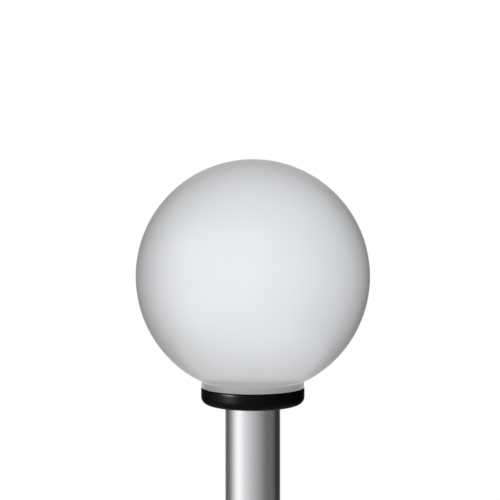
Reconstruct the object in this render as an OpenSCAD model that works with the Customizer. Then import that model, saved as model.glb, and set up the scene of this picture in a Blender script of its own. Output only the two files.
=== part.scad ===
// Globe post top light: an opal globe on a black collar, on a round aluminium post with a cast foot.
// Origin on the ground at the middle of the foot, +Z up the post, millimetres.

/* [Overall] */
// Height of the whole light, from the ground to the top of the globe
overall_h = 800; // [600:10:1200]

/* [Globe] */
// Outside diameter of the globe
globe_d = 250; // [220:5:300]
// Wall of the blown globe and of its neck
globe_wall = 3; // [2:0.25:4]
// Outside diameter of the neck band above the collar
neck_d = 110; // [108:0.25:112]
// Height of the neck band, from the sphere to the collar
neck_h = 6.5; // [5:0.25:12]
// Radius where the sphere runs into the neck band
neck_fillet = 1.5; // [0.5:0.25:3]
// Depth of the neck skirt inside the collar
skirt_h = 7; // [6:0.25:9]
// Width of the lip turned in at the foot of the skirt
lip_w = 2.5; // [2:0.25:4]

/* [Collar] */
// Distance that the collar stands out past the neck band
collar_step = 0.5; // [0.25:0.25:2]
// Height of the collar
collar_h = 18; // [17:0.25:24]
// Wall of the collar rim
rim_wall = 3; // [2.5:0.25:4]
// Thickness of the collar web under the globe
web_t = 3; // [2.5:0.25:4]
// Thickness of the collar floor over the post
floor_t = 4; // [3:0.25:6]
// Wall of the socket that takes the post
socket_wall = 3.5; // [3:0.25:5]
// Rounding of the top edge of the rim
top_round = 1.2; // [0.6:0.1:1.5]
// Radius of the big rounding at the foot of the rim
bottom_round = 8; // [6:0.25:8.5]
// Number of ribs under the web between two clamp screws
ribs_per_bay = 4; // [2:1:6]
// Thickness of each rib
rib_t = 2; // [1.5:0.25:3]
// Distance that the ribs stay up from the bottom edge
rib_rise = 2; // [1.5:0.25:3]

/* [Globe clamp] */
// Thickness of the sealing ring under the globe lip
globe_gasket_t = 2; // [1:0.25:3]
// Thickness of the clamp ring
clamp_t = 2.5; // [2:0.25:4]
// Height of each tapped boss above the underside of the clamp ring
clamp_boss_h = 5; // [4:0.25:8]
// Diameter of each tapped boss
clamp_boss_d = 9; // [8:0.25:10]
// Outside diameter of the pillars that steady the clamp ring
pillar_d = 7; // [6.5:0.25:8]
// Number of clamp screws
clamp_count = 3; // [3:1:4]

/* [Post] */
// Outside diameter of the post
post_d = 59; // [57:0.25:62]
// Wall of the post tube
post_wall = 2; // [1.5:0.25:3]
// Depth that the post enters the collar
post_lap = 3; // [2:0.25:4]
// Thickness of the head plug flange on the post end
plug_flange_t = 3; // [2:0.25:4]
// Depth of the head plug inside the post
plug_depth = 14; // [10:0.5:30]
// Bore of the head plug for the cable
plug_bore_d = 24; // [23:0.25:30]
// Thickness of the sealing ring on top of the head plug
post_gasket_t = 1.5; // [1:0.25:2]

/* [Screws] */
// Thread diameter of the screws in the head
screw_d = 4; // [3:0.25:4.5]
// Thread diameter of the terminal block's screw
block_screw_d = 3; // [2.5:0.25:3]
// Radius of the circle of the fixing screws
fixing_r = 22; // [20:0.25:23.5]
// Depth that the fixing screws reach below the collar floor
screw_reach = 11; // [8:0.5:16]

/* [Foot] */
// Diameter of the foot plate
foot_d = 160; // [150:5:220]
// Thickness of the foot plate
foot_t = 8; // [6:0.5:14]
// Wall of the hub around the post
hub_wall = 8; // [6:0.5:10]
// Height of the hub above the foot plate
hub_h = 36; // [28:1:60]
// Radius between hub and plate
hub_fillet = 6; // [3:0.5:8]
// Diameter of the circle of the ground bolts
bolt_pcd = 124; // [118:1:180]
// Number of ground bolts
bolt_count = 4; // [3:1:6]
// Diameter of each bolt hole
bolt_hole_d = 11; // [9:0.5:13]
// Diameter of the raised pad round each bolt hole
bolt_pad_d = 24; // [20:0.5:26]
// Height of the raised pads
bolt_pad_h = 1.5; // [1:0.25:3]
// Diameter of the cable hole through the plate
cable_hole_d = 40; // [30:1:46]
// Thread diameter of the set screws that grip the post
set_screw_d = 8; // [6:0.5:10]
// Height of the set screws above the foot plate
set_screw_z = 22; // [16:0.5:26]

/* [Lamp holder] */
// Height of the bracket from the collar floor to the holder
bracket_h = 26; // [22:0.5:40]
// Width of the bracket strip
bracket_w = 12; // [10:0.5:14]
// Thickness of the bracket strip
bracket_t = 1.5; // [1:0.25:2]
// Diameter of the porcelain at its foot
holder_d = 46; // [42:0.5:52]
// Diameter of the porcelain at its mouth
holder_mouth_d = 40; // [38:0.5:44]
// Height of the porcelain
holder_h = 46; // [44:0.5:52]
// Height of the terminal notches in the porcelain
notch_h = 9; // [8:0.25:11]
// Thickness of the porcelain between the notches and the lamp cavity
holder_floor_t = 7; // [5:0.25:9]
// Diameter of the lamp cavity
cavity_d = 31; // [30:0.25:33]

/* [Lamp] */
// Middle diameter of the round screw thread of the cap
cap_d = 25; // [24.5:0.1:25.5]
// Depth of the round thread, crest to middle
thread_wave = 0.5; // [0.3:0.05:0.6]
// Pitch of the round thread
thread_pitch = 3.6; // [3:0.1:4]
// Turns of the round thread
thread_turns = 5; // [4:1:5]
// Diameter of the bulb
bulb_d = 60; // [50:1:68]
// Length of the lamp from its end contact to its top
lamp_len = 108; // [98:1:120]

/* [Terminals and leads] */
// Spacing of the terminal block poles
pole_pitch = 8.5; // [8:0.25:9]
// Depth of the terminal block, along the wires
block_depth = 12; // [11:0.5:14]
// Height of the terminal block over its poles
block_h = 15; // [14:0.5:17]
// Height of the terminal block between its poles
block_base_h = 9.3; // [9:0.1:10]
// Outside diameter of a lead
lead_d = 2.4; // [2:0.1:2.6]

/* [Hidden] */
$fn = 72;

// Clearances and small shared sizes
slip = 0.3;           // gap round a piece that drops into its seat
thread_play = 0.05;   // gap between a headed screw and its tapped hole, on the radius
hole_play = 0.25;     // gap between a screw and its clearance hole, on the radius
push_play = 0.05;     // gap round the head plug, on the radius
eps = 0.01;           // overshoot of a cutting solid
skirt_gap = 0.5;      // gap between the globe skirt and the collar rim
thread_seam = 6;      // points along one turn of the round thread

// Rivets of the holder terminals
rivet_r = 1.5;
rivet_head_r = 2.3;

// Radii
globe_r = globe_d / 2;
globe_in_r = globe_r - globe_wall;
neck_r = neck_d / 2;
collar_r = neck_r + collar_step;
rim_in_r = collar_r - rim_wall;
skirt_r = rim_in_r - skirt_gap;
skirt_in_r = skirt_r - globe_wall;
lip_in_r = skirt_in_r - lip_w;
post_r = post_d / 2;
post_in_r = post_r - post_wall;
socket_r = post_r + slip;
socket_out_r = socket_r + socket_wall;
screw_r = screw_d / 2;
head_r = screw_d;            // a pan head is twice as wide as its thread
head_h = screw_d * 0.65;
clamp_screw_r = lip_in_r - pillar_d / 2 - skirt_gap;
clamp_in_r = clamp_screw_r - clamp_boss_d / 2 - 0.5;
rib_count = clamp_count * ribs_per_bay;

// Heights of the head
globe_z = overall_h - globe_r;
neck_top_z = globe_z - sqrt(globe_r * globe_r - neck_r * neck_r);
collar_top_z = neck_top_z - neck_h;
collar_z = collar_top_z - collar_h;
post_top_z = collar_z + post_lap;
plug_top_z = post_top_z + plug_flange_t;
floor_z = plug_top_z + post_gasket_t;
floor_top_z = floor_z + floor_t;
lip_z = collar_top_z - skirt_h;
web_top_z = lip_z - globe_gasket_t;
web_z = web_top_z - web_t;
clamp_z = lip_z + globe_wall;
clamp_top_z = clamp_z + clamp_t;

// Foot
foot_r = foot_d / 2;
hub_r = socket_r + hub_wall;
hub_top_z = foot_t + hub_h;

// Cable grommet
grommet_hole_r = plug_bore_d / 2 - 3;
grommet_lip_r = plug_bore_d / 2 - 1;
grommet_lip_t = 2;
grommet_bore_r = 4;

// Lamp holder bracket and porcelain
leg_out_x = fixing_r - head_r - 1;
leg_in_x = leg_out_x - bracket_t;
foot_end_x = fixing_r + 6;
bend_r = 1;
holder_z = floor_top_z + bracket_h;
holder_r = holder_d / 2;
notch_top_z = holder_z + notch_h;
cavity_z = notch_top_z + holder_floor_t;
cavity_r = cavity_d / 2;
holder_top_z = holder_z + holder_h;
holder_screw_x = leg_in_x - head_r - 2;
holder_screw_in = 8;

// Screw shell and end contact
contact_t = 0.6;
shell_t = 0.6;
cap_r = cap_d / 2;
cap_gap = 0.25;
shell_in_r = cap_r + cap_gap;
contact_rise = 6;
lamp_z = cavity_z + contact_rise;
cap_foot_h = 4;
thread_z = lamp_z + cap_foot_h;
thread_h = thread_pitch * thread_turns;
cap_top_z = thread_z + thread_h + 5;

// Terminals of the holder
terminal_w = lead_d + 4.2;
terminal_y = shell_in_r - thread_wave - rivet_head_r - 0.6;
terminal_in_y = terminal_y - terminal_w / 2;
terminal_z = holder_z + 1;
notch_w = terminal_w + 2 * slip;
rivet_head_h = 1.2;
wire_hole_r = lead_d / 2 + 0.1;
wire_hole_depth = 5;
grub_z = terminal_z + wire_hole_depth / 2;

// Terminal block
block_w = 3 * pole_pitch;
block_x = -pole_pitch;
pole_x = [for (i = [0:2]) block_x + (i + 0.5) * pole_pitch];
block_y = fixing_r - block_depth / 2;
sleeve_r = lead_d / 2 + 1.4;
sleeve_bore_r = lead_d / 2 + 0.2;
sleeve_inset = 1.5;
pole_z = floor_top_z + block_base_h - sleeve_r - 0.4;
pole_w = pole_pitch - 2;
pole_step = 1;
pole_screw_r = 1.5;
pole_screw_y = block_depth / 5;

// Earth tag
tag_t = 0.8;
washer_t = 0.8;
tag_barrel_r = lead_d / 2 + 0.8;
tag_barrel_l = 5;
tag_end_x = head_r + 8;
tag_turn = 45;
tag_z = floor_top_z + tag_barrel_r;

// Angles of the fixing screws on their circle
bracket_angles = [0, 180];
block_angle = 90;
earth_angle = 270;

// A square corner with a concave quarter circle, which fills the inside corner at [0, 0]
module cove(r) {
    difference() {
        square(r);
        translate([r, r]) circle(r);
    }
}

// The waste outside a rounded corner whose square tip is at [0, 0], material towards +x and +y
module edge_waste(r) {
    difference() {
        translate([-eps, -eps]) square(r + eps);
        translate([r, r]) circle(r);
    }
}

module ring(r_out, r_in, h) {
    difference() {
        cylinder(r = r_out, h = h);
        translate([0, 0, -1]) cylinder(r = r_in, h = h + 2);
    }
}

// One screw: its head stands on z = 0 upwards and its shank of the given length goes down
module pan_screw(d, length) {
    r = d / 2;
    h = d * 0.65;
    slot = d * 0.22;
    difference() {
        union() {
            cylinder(r = d, h = h - d * 0.15);
            translate([0, 0, h - d * 0.15 - eps]) cylinder(r1 = d, r2 = d * 0.8, h = d * 0.15 + eps);
            translate([0, 0, -length + d * 0.2]) cylinder(r = r, h = length - d * 0.2 + eps);
            translate([0, 0, -length]) cylinder(r1 = r * 0.7, r2 = r, h = d * 0.2 + eps);
        }
        for (turn = [0, 90]) rotate(turn)
            translate([-d * 0.6, -slot / 2, h - d * 0.4]) cube([d * 1.2, slot, d]);
    }
}

// One set screw along +x with its flat end at the origin and a hexagon socket in the other end
module set_screw(d, length) {
    socket_deep = length * 0.45;
    rotate([0, 90, 0]) difference() {
        cylinder(r = d / 2, h = length);
        translate([0, 0, length - socket_deep]) cylinder(d = d * 0.58, h = socket_deep + 1, $fn = 6);
    }
}

// Cast foot: plate, bolt pads, hub with a ledge for the post, three tapped holes for the set screws
module foot() {
    color("silver") difference() {
        union() {
            rotate_extrude() difference() {
                union() {
                    square([foot_r, foot_t]);
                    square([hub_r, hub_top_z]);
                    translate([hub_r, foot_t]) cove(hub_fillet);
                }
                translate([foot_r, foot_t]) rotate(180) edge_waste(2);
                translate([hub_r, hub_top_z]) rotate(180) edge_waste(2);
            }
            for (i = [0:bolt_count - 1]) rotate(45 + i * 360 / bolt_count)
                translate([bolt_pcd / 2, 0, foot_t - 1]) cylinder(r = bolt_pad_d / 2, h = bolt_pad_h + 1);
        }
        translate([0, 0, -1]) cylinder(r = cable_hole_d / 2, h = foot_t + 2);
        translate([0, 0, foot_t]) cylinder(r = socket_r, h = hub_h + 1);
        for (i = [0:bolt_count - 1]) rotate(45 + i * 360 / bolt_count)
            translate([bolt_pcd / 2, 0, -1]) cylinder(r = bolt_hole_d / 2, h = foot_t + bolt_pad_h + 2);
        for (i = [0:2]) rotate(90 + i * 120)
            translate([post_r - 1, 0, foot_t + set_screw_z]) rotate([0, 90, 0])
                cylinder(r = set_screw_d / 2 + thread_play, h = hub_wall + 4);
    }
}

// Three socket set screws, ends on the post, sunk a little below the hub
module foot_set_screws() {
    color("dimgray") for (i = [0:2]) rotate(90 + i * 120)
        translate([post_r, 0, foot_t + set_screw_z]) set_screw(set_screw_d, hub_wall - 1);
}

// Extruded round tube, standing on the plate inside the hub
module post() {
    color("silver") translate([0, 0, foot_t]) ring(post_r, post_in_r, post_top_z - foot_t);
}

// Plug pressed into the top of the post, its flange on the end of the tube
module head_plug() {
    color("gainsboro") difference() {
        union() {
            translate([0, 0, post_top_z]) cylinder(r = post_r, h = plug_flange_t);
            translate([0, 0, post_top_z - plug_depth]) cylinder(r = post_in_r - push_play, h = plug_depth + eps);
        }
        translate([0, 0, post_top_z - plug_depth - 1])
            cylinder(r = plug_bore_d / 2, h = plug_depth + plug_flange_t + 2);
        fixing_holes(thread_play, post_top_z - plug_depth - 1, plug_top_z + 1);
    }
}

// The holes on the fixing circle, with a given gap round the screws, from one height to another
module fixing_holes(play, from_z, to_z) {
    for (angle = concat(bracket_angles, [earth_angle])) rotate(angle)
        translate([fixing_r, 0, from_z]) cylinder(r = screw_r + play, h = to_z - from_z);
    rotate(block_angle) translate([fixing_r, 0, from_z])
        cylinder(r = block_screw_d / 2 + play, h = to_z - from_z);
}

// Rubber ring between the head plug and the collar floor
module post_gasket() {
    color("black") difference() {
        translate([0, 0, plug_top_z]) ring(post_r, plug_bore_d / 2, post_gasket_t);
        fixing_holes(hole_play, plug_top_z - 1, floor_z + 1);
    }
}

// Moulded collar: rim, web with ribs under it, socket for the post and pillars for the clamp screws
module collar() {
    color([0.05, 0.06, 0.07]) difference() {
        union() {
            rotate_extrude() difference() {
                union() {
                    rim_section();
                    translate([socket_r, web_z]) square([rim_in_r - socket_r + eps, web_t]);
                    translate([socket_r, collar_z]) square([socket_wall, floor_top_z - collar_z]);
                    translate([0, floor_z]) square([socket_r + eps, floor_t]);
                    translate([socket_out_r, web_top_z]) cove(1);
                }
                translate([collar_r, collar_top_z]) rotate(180) edge_waste(top_round);
            }
            collar_ribs();
            clamp_places() translate([0, 0, web_top_z - eps])
                cylinder(r = pillar_d / 2, h = clamp_z - web_top_z - slip + eps);
        }
        translate([0, 0, floor_z - 1]) cylinder(r = grommet_hole_r, h = floor_t + 2);
        fixing_holes(hole_play, floor_z - 1, floor_top_z + 1);
        clamp_places() translate([0, 0, web_z - 1])
            cylinder(r = screw_r + hole_play, h = clamp_z - web_z + 1);
    }
}

// Section of the rim: straight down from its top, then rolled in by the big rounding to the opening at its foot
module rim_section() {
    difference() {
        translate([collar_r - bottom_round, collar_z]) square([bottom_round, collar_h]);
        translate([collar_r, collar_z]) rotate(90) edge_waste(bottom_round);
        translate([collar_r - bottom_round, collar_z + bottom_round]) circle(bottom_round - rim_wall);
        translate([collar_r - bottom_round - 1, collar_z + bottom_round])
            square([bottom_round - rim_wall + 1, collar_h]);
    }
}

// Ribs under the web, from the socket into the wall of the rim, whose rounding their outer ends follow
module collar_ribs() {
    sunk = rim_wall / 3;
    intersection() {
        for (i = [0:rib_count - 1]) rotate(90 + (i + 0.5) * 360 / rib_count)
            translate([socket_out_r - 1, -rib_t / 2, collar_z + rib_rise])
                cube([rim_in_r - socket_out_r + rim_wall, rib_t, web_z - collar_z - rib_rise + eps]);
        rotate_extrude() difference() {
            translate([0, collar_z + sunk]) square([collar_r - sunk, collar_h]);
            translate([collar_r - sunk, collar_z + sunk]) rotate(90) edge_waste(bottom_round - sunk);
        }
    }
}

// The places of the clamp screws, on their circle
module clamp_places() {
    for (i = [0:clamp_count - 1]) rotate(90 + i * 360 / clamp_count)
        translate([clamp_screw_r, 0, 0]) children();
}

// Rubber grommet snapped into the collar floor, where the cable comes through
module cable_grommet() {
    color("black") rotate_extrude() difference() {
        union() {
            translate([grommet_bore_r, floor_z - grommet_lip_t])
                square([grommet_hole_r - grommet_bore_r, floor_t + 2 * grommet_lip_t]);
            for (z = [floor_z - grommet_lip_t, floor_top_z])
                translate([grommet_bore_r, z]) square([grommet_lip_r - grommet_bore_r, grommet_lip_t]);
        }
        translate([grommet_lip_r, floor_top_z + grommet_lip_t]) rotate(180) edge_waste(0.8);
        translate([grommet_lip_r, floor_z - grommet_lip_t]) rotate(90) edge_waste(0.8);
    }
}

// Rubber ring that the lip of the globe is pressed on
module globe_gasket() {
    color("black") translate([0, 0, web_top_z]) ring(skirt_r, lip_in_r, globe_gasket_t);
}

// Opal globe with its neck band, its stepped skirt and the lip turned in at the foot
module globe() {
    step_z = collar_top_z + globe_wall;
    band_in_r = neck_r - globe_wall;
    band_in_top_z = globe_z - sqrt(globe_in_r * globe_in_r - band_in_r * band_in_r);
    color([0.9, 0.91, 0.92]) rotate_extrude() difference() {
        union() {
            sphere_part(globe_r, neck_top_z);
            translate([0, collar_top_z]) square([neck_r, globe_z - collar_top_z]);
            translate([0, lip_z]) square([skirt_r, skirt_h + eps]);
            neck_cove();
        }
        sphere_part(globe_in_r, band_in_top_z);
        translate([-eps, step_z]) square([band_in_r + eps, globe_z - step_z]);
        translate([-eps, clamp_z]) square([skirt_in_r + eps, step_z - clamp_z + eps]);
        translate([-eps, lip_z - 1]) square([lip_in_r + eps, globe_wall + 2]);
    }
}

// Half outline of a sphere round the globe's centre, from one height up
module sphere_part(r, from_z) {
    intersection() {
        translate([0, globe_z]) circle(r, $fn = 180);
        translate([0, from_z]) square([globe_d, globe_z + globe_d - from_z]);
    }
}

// Fillet between the neck band and the sphere: it touches both
module neck_cove() {
    cove_r = neck_r + neck_fillet;
    cove_z = globe_z - sqrt(pow(globe_r + neck_fillet, 2) - cove_r * cove_r);
    touch = globe_r / (globe_r + neck_fillet);
    touch_z = globe_z + (cove_z - globe_z) * touch;
    difference() {
        polygon([[neck_r - 1, cove_z], [neck_r, cove_z], [cove_r * touch, touch_z], [neck_r - 1, touch_z]]);
        translate([cove_r, cove_z]) circle(neck_fillet);
    }
}

// Steel ring inside the globe that presses its lip down, with a tapped boss for each screw
module clamp_ring() {
    color("lightsteelblue") difference() {
        union() {
            translate([0, 0, clamp_z]) ring(skirt_in_r - skirt_gap, clamp_in_r, clamp_t);
            clamp_places() translate([0, 0, clamp_z]) cylinder(r = clamp_boss_d / 2, h = clamp_boss_h);
        }
        clamp_places() translate([0, 0, clamp_z - 1])
            cylinder(r = screw_r + thread_play, h = clamp_boss_h + 2);
    }
}

// Screws from under the collar up into the clamp ring
module clamp_screws() {
    color("silver") clamp_places() translate([0, 0, web_z]) rotate([180, 0, 0])
        pan_screw(screw_d, clamp_z + clamp_boss_h - web_z + 1);
}

// Folded strip: two feet on the collar floor, two legs and the web that carries the porcelain
module holder_bracket() {
    web_low_z = holder_z - bracket_t;
    leg_low_z = floor_top_z + bracket_t + bend_r;
    leg_high_z = web_low_z - bend_r;
    color("lightsteelblue") difference() {
        union() {
            translate([-leg_in_x + bend_r, -bracket_w / 2, web_low_z])
                cube([2 * (leg_in_x - bend_r), bracket_w, bracket_t]);
            for (side = [0, 180]) rotate(side) {
                translate([leg_in_x, -bracket_w / 2, leg_low_z])
                    cube([bracket_t, bracket_w, leg_high_z - leg_low_z]);
                translate([leg_out_x + bend_r, -bracket_w / 2, floor_top_z])
                    cube([foot_end_x - bracket_w / 2 - leg_out_x - bend_r, bracket_w, bracket_t]);
                translate([foot_end_x - bracket_w / 2, 0, floor_top_z])
                    cylinder(r = bracket_w / 2, h = bracket_t);
                translate([leg_in_x - bend_r, 0, leg_high_z]) strip_bend(0);
                translate([leg_out_x + bend_r, 0, leg_low_z]) strip_bend(180);
            }
        }
        for (side = [0, 180]) rotate(side) {
            translate([fixing_r, 0, floor_top_z - 1]) cylinder(r = screw_r + hole_play, h = bracket_t + 2);
            translate([holder_screw_x, 0, web_low_z - 1]) cylinder(r = screw_r + hole_play, h = bracket_t + 2);
        }
    }
}

// A quarter bend of the strip about the y axis, from the start angle in the x-z plane
module strip_bend(start) {
    rotate([90, 0, 0]) translate([0, 0, -bracket_w / 2]) rotate(start) rotate_extrude(angle = 90)
        translate([bend_r, 0]) square([bracket_t, bracket_w]);
}

// Screws through the feet of the bracket and the collar floor into the head plug
module bracket_screws() {
    color("silver") for (side = bracket_angles) rotate(side)
        translate([fixing_r, 0, floor_top_z + bracket_t]) pan_screw(screw_d, screw_reach + floor_t + bracket_t);
}

// Porcelain lamp holder with a cavity for the screw shell and two notches for the terminals
module holder_body() {
    step_z = holder_z + notch_h + holder_floor_t + 4;
    color("ivory") difference() {
        rotate_extrude() difference() {
            union() {
                translate([0, holder_z]) square([holder_r, step_z - holder_z]);
                translate([0, step_z - eps]) square([holder_mouth_d / 2, holder_top_z - step_z + eps]);
            }
            translate([-eps, cavity_z]) square([cavity_r + eps, holder_h]);
            translate([holder_r, holder_z]) rotate(90) edge_waste(1.5);
            translate([holder_r, step_z]) rotate(180) edge_waste(1.5);
            translate([holder_mouth_d / 2, holder_top_z]) rotate(180) edge_waste(1.5);
        }
        for (side = [90, 270]) rotate(side) {
            translate([terminal_in_y, -notch_w / 2, holder_z - 1]) cube([holder_r, notch_w, notch_h + 1]);
            translate([terminal_y, 0, notch_top_z - 1]) cylinder(r = rivet_r + push_play, h = holder_floor_t + 2);
        }
        for (side = [0, 180]) rotate(side) translate([holder_screw_x, 0, holder_z - 1])
            cylinder(r = screw_r + thread_play, h = holder_screw_in + 1.5);
    }
}

// Screws from under the bracket web into the porcelain
module holder_screws() {
    color("silver") for (side = [0, 180]) rotate(side)
        translate([holder_screw_x, 0, holder_z - bracket_t]) rotate([180, 0, 0])
            pan_screw(screw_d, holder_screw_in + bracket_t);
}

// Brass terminals in the notches, each riveted through the porcelain floor
module holder_terminals() {
    color("goldenrod") for (side = [90, 270]) rotate(side) difference() {
        union() {
            translate([terminal_in_y, -terminal_w / 2, terminal_z])
                cube([terminal_w, terminal_w, notch_top_z - terminal_z]);
            translate([terminal_y, 0, notch_top_z - eps])
                cylinder(r = rivet_r, h = holder_floor_t + contact_t + 2 * eps);
            translate([terminal_y, 0, cavity_z + contact_t]) cylinder(r = rivet_head_r, h = rivet_head_h);
        }
        translate([terminal_y, 0, terminal_z - 1]) cylinder(r = wire_hole_r, h = wire_hole_depth + 1);
        translate([terminal_y, 0, grub_z]) rotate([0, 90, 0])
            cylinder(r = pole_screw_r, h = terminal_w);
    }
}

// Grub screws that grip the lead ends in the holder terminals
module terminal_grub_screws() {
    color("dimgray") for (side = [90, 270]) rotate(side)
        translate([terminal_y + lead_d / 2, 0, grub_z])
            set_screw(2 * pole_screw_r, terminal_w / 2 - lead_d / 2 + 1);
}

// Half outline of a round thread: points up one side, at a given middle radius
function thread_points(mid_r, z, turns) = [
    for (i = [0:thread_seam * turns])
        [mid_r - thread_wave * cos(360 * i / thread_seam), z + i * thread_pitch / thread_seam]
];

function reversed(list) = [for (i = [len(list) - 1:-1:0]) list[i]];

// Brass shell with a rolled round thread and a base ring, cut away round the live contact
module screw_shell() {
    inside = thread_points(shell_in_r, thread_z, thread_turns);
    outside = thread_points(shell_in_r + shell_t, thread_z, thread_turns);
    low_r = shell_in_r - thread_wave;
    base_in_r = terminal_y - rivet_head_r - 0.5;
    gap_w = 2 * rivet_head_r + 2;
    color("goldenrod") difference() {
        rotate_extrude() polygon(concat(
            [[base_in_r, cavity_z], [base_in_r, cavity_z + contact_t], [low_r, cavity_z + contact_t]],
            inside, reversed(outside), [[low_r + shell_t, cavity_z]]
        ));
        translate([-gap_w / 2, 0, cavity_z - 1]) cube([gap_w, cavity_r, contact_rise - 1]);
        translate([0, -terminal_y, cavity_z - 1]) cylinder(r = rivet_r + push_play, h = contact_t + 2);
    }
}

// Springy strip from the live rivet up to the middle of the cap
module centre_contact() {
    width = 2 * rivet_head_r;
    foot_y = terminal_y - rivet_head_r;
    color("peru") difference() {
        translate([-width / 2, 0, 0]) rotate([90, 0, 90]) linear_extrude(width) polygon([
            [terminal_y + rivet_head_r, cavity_z],
            [terminal_y + rivet_head_r, cavity_z + contact_t],
            [foot_y, cavity_z + contact_t],
            [foot_y - 2.6, lamp_z],
            [-4, lamp_z],
            [-4.6, lamp_z - 0.5],
            [-4.2, lamp_z - 1],
            [-3.8, lamp_z - contact_t],
            [foot_y - 3, lamp_z - contact_t],
            [foot_y - 0.5, cavity_z]
        ]);
        translate([0, terminal_y, cavity_z - 1]) cylinder(r = rivet_r + push_play, h = contact_t + 2);
    }
}

// Sealed lamp: end contact, insulator, threaded cap, cone and bulb as one closed solid
module lamp() {
    bulb_r = bulb_d / 2;
    bulb_z = lamp_z + lamp_len - bulb_r;
    cone_a = 28;
    cone_x = bulb_r * cos(cone_a);
    cone_z = bulb_z - bulb_r * sin(cone_a);
    color("whitesmoke") rotate_extrude() union() {
        polygon(concat(
            [[0, lamp_z], [4.5, lamp_z], [5, lamp_z + 1], [cap_r - 3.5, thread_z - 1]],
            thread_points(cap_r, thread_z, thread_turns),
            [[cap_r - thread_wave, cap_top_z], [cap_r + 0.5, cap_top_z + 2], [cone_x, cone_z], [0, cone_z]]
        ));
        intersection() {
            translate([0, bulb_z]) circle(bulb_r);
            translate([0, cone_z - eps]) square([bulb_d, bulb_d * 2]);
        }
    }
}

// Three-pole terminal block, fixed by one screw between its first two poles
module terminal_block() {
    color("ivory") difference() {
        union() {
            translate([block_x, block_y, floor_top_z]) cube([block_w, block_depth, block_base_h]);
            for (i = [0:2]) translate([pole_x[i] - pole_w / 2, block_y + pole_step, floor_top_z])
                cube([pole_w, block_depth - 2 * pole_step, block_h]);
        }
        for (i = [0:2]) pole(i) {
            translate([0, -1, 0]) rotate([-90, 0, 0]) cylinder(r = sleeve_bore_r, h = block_depth + 2);
            translate([0, sleeve_inset, 0]) rotate([-90, 0, 0])
                cylinder(r = sleeve_r, h = block_depth - 2 * sleeve_inset);
            for (side = [-1, 1]) translate([0, block_depth / 2 + side * pole_screw_y, 0])
                cylinder(r = pole_screw_r + 2 * thread_play, h = block_h);
        }
        translate([0, fixing_r, floor_top_z - 1]) cylinder(r = block_screw_d / 2 + hole_play, h = block_h + 2);
        translate([0, fixing_r, floor_top_z + block_base_h]) cylinder(r = block_screw_d + hole_play, h = block_h);
    }
}

// The start of one pole of the terminal block, on its inner face at the height of the sleeve
module pole(i) {
    translate([pole_x[i], block_y, pole_z]) children();
}

// Brass sleeve of each pole
module terminal_sleeves() {
    color("goldenrod") for (i = [0:2]) pole(i) difference() {
        translate([0, sleeve_inset, 0]) rotate([-90, 0, 0])
            ring(sleeve_r, sleeve_bore_r, block_depth - 2 * sleeve_inset);
        for (side = [-1, 1]) translate([0, block_depth / 2 + side * pole_screw_y, 0])
            cylinder(r = pole_screw_r, h = block_h);
    }
}

// Two clamping screws in each pole, tightened on the lead and left a little open on the empty side
module terminal_screws() {
    length = floor_top_z + block_h - pole_z - sleeve_bore_r - 1.5;
    color("silver") for (i = [0:2]) pole(i) for (side = [-1, 1])
        translate([0, block_depth / 2 + side * pole_screw_y, side < 0 ? lead_d / 2 : sleeve_bore_r])
            difference() {
                cylinder(r = pole_screw_r, h = length);
                translate([-pole_screw_r - 1, -0.3, length - 0.8]) cube([2 * pole_screw_r + 2, 0.6, 1]);
            }
}

// Screw through the terminal block and the collar floor into the head plug
module block_screw() {
    color("silver") rotate(block_angle) translate([fixing_r, 0, floor_top_z + block_base_h])
        pan_screw(block_screw_d, screw_reach + floor_t + block_base_h);
}

// Earth screw through the collar floor into the head plug
module earth_screw() {
    color("silver") rotate(earth_angle) translate([fixing_r, 0, floor_top_z + tag_t + washer_t])
        pan_screw(screw_d, screw_reach + floor_t + tag_t + washer_t);
}

// Toothed washer under the head of the earth screw, plain here
module earth_washer() {
    color("silver") translate([0, -fixing_r, floor_top_z + tag_t]) ring(head_r + 0.5, screw_r + hole_play, washer_t);
}

// Ring tag of the earth lead, its crimp barrel rolled from the tongue and turned towards the lead
module earth_tag() {
    color("goldenrod") translate([0, -fixing_r, floor_top_z]) rotate(tag_turn) difference() {
        union() {
            cylinder(r = head_r + 0.5, h = tag_t);
            translate([0, -tag_barrel_r, 0]) cube([tag_end_x - tag_barrel_l + 0.5, 2 * tag_barrel_r, tag_t]);
            translate([tag_end_x - tag_barrel_l, 0, tag_barrel_r]) rotate([0, 90, 0])
                cylinder(r = tag_barrel_r, h = tag_barrel_l);
        }
        translate([0, 0, -1]) cylinder(r = screw_r + hole_play, h = tag_t + 2);
        translate([tag_end_x - tag_barrel_l - 1, 0, tag_barrel_r]) rotate([0, 90, 0])
            cylinder(r = lead_d / 2, h = tag_barrel_l + 2);
    }
}

// Routes of the leads, from the terminal block to the holder terminals and the earth tag
lead_stop_y = fixing_r - 1;
lead_end_z = terminal_z + wire_hole_depth;
live_route = [
    [pole_x[0], lead_stop_y, pole_z],
    [pole_x[0], block_y, pole_z],
    [pole_x[0], block_y - 1.5, pole_z + 0.5],
    [pole_x[0], terminal_y + 1.5, pole_z + 4],
    [pole_x[0] / 2, terminal_y + 0.3, (pole_z + holder_z) / 2],
    [0, terminal_y, holder_z - 4],
    [0, terminal_y, terminal_z],
    [0, terminal_y, lead_end_z]
];
neutral_route = [
    [pole_x[1], lead_stop_y, pole_z],
    [pole_x[1], block_y, pole_z],
    [pole_x[1], block_y - 3, pole_z],
    [pole_x[1], 5, pole_z + 1.5],
    [pole_x[1], -3, pole_z + 4],
    [pole_x[1] / 2, -terminal_y + 0.5, (pole_z + holder_z) / 2],
    [0, -terminal_y, holder_z - 4],
    [0, -terminal_y, terminal_z],
    [0, -terminal_y, lead_end_z]
];
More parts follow.
